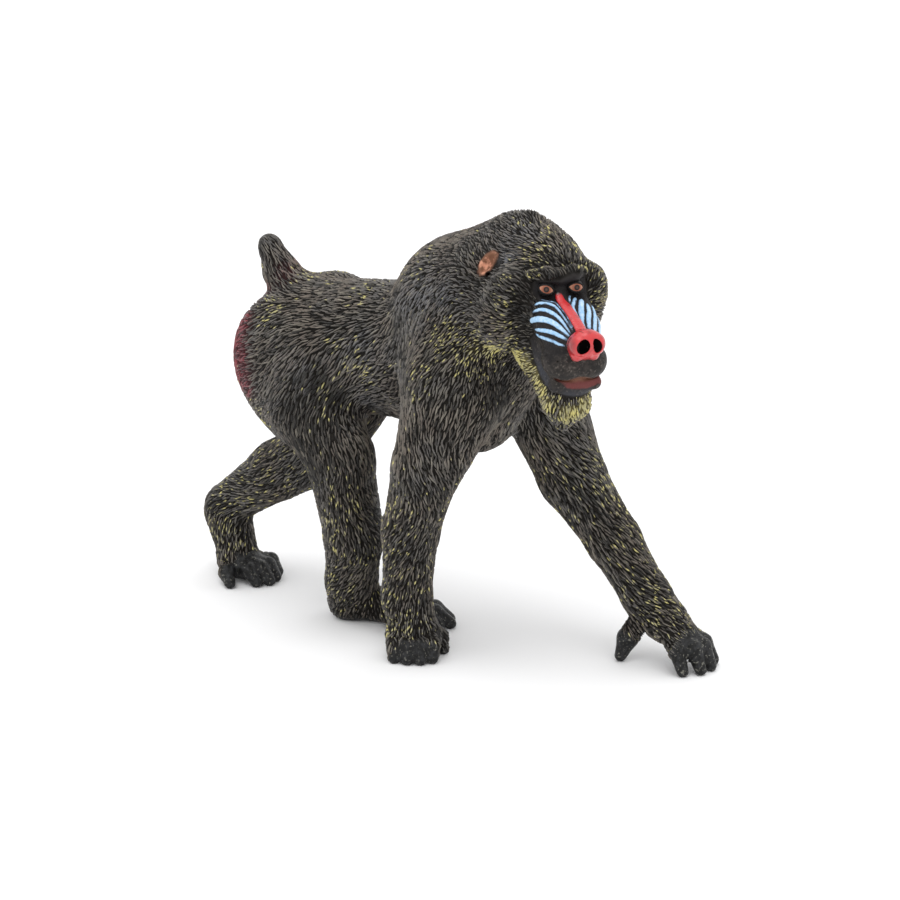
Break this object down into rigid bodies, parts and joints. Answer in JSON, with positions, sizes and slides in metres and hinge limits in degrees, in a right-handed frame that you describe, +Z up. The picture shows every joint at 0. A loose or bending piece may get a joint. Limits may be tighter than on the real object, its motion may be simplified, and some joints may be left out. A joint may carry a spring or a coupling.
{
  "type": "toy mandrill figurine",
  "caption": "Solid moulded toy figurine of a mandrill walking on hands and feet, head turned to its right, short tail up, fur as carved strokes.",
  "frame": {"origin": "middle of the bounding box, on the floor that the hands and feet stand on", "axes": "+X the way the animal walks, +Y its left, +Z up"},
  "size_m": [0.0925, 0.0327, 0.0705],
  "materials": {
    "coat": "soft PVC painted dark grey-brown over carved fur strokes, dry-brushed yellow-green on the ruff and beard, rose on the rump, blue and red on the muzzle",
    "skin": "smooth blue-black paint on fingers and toes, low sheen",
    "ear": "orange-brown paint with a dark hollow",
    "eye": "orange-tan paint with a black pupil, glossy"
  },
  "bodies": {
    "root": {"head": "coat", "neck": "coat", "torso": "coat", "tail": "coat", "ear_right": "ear", "ear_left": "ear", "eye_right": "eye", "eye_left": "eye", "upper_arm_right": "coat", "upper_arm_left": "coat", "forearm_right": "coat", "forearm_left": "coat", "hand_right": "skin", "hand_left": "skin", "thigh_right": "coat", "thigh_left": "coat", "shank_right": "coat", "shank_left": "coat", "foot_right": "skin", "foot_left": "skin"}
  },
  "joints": []
}
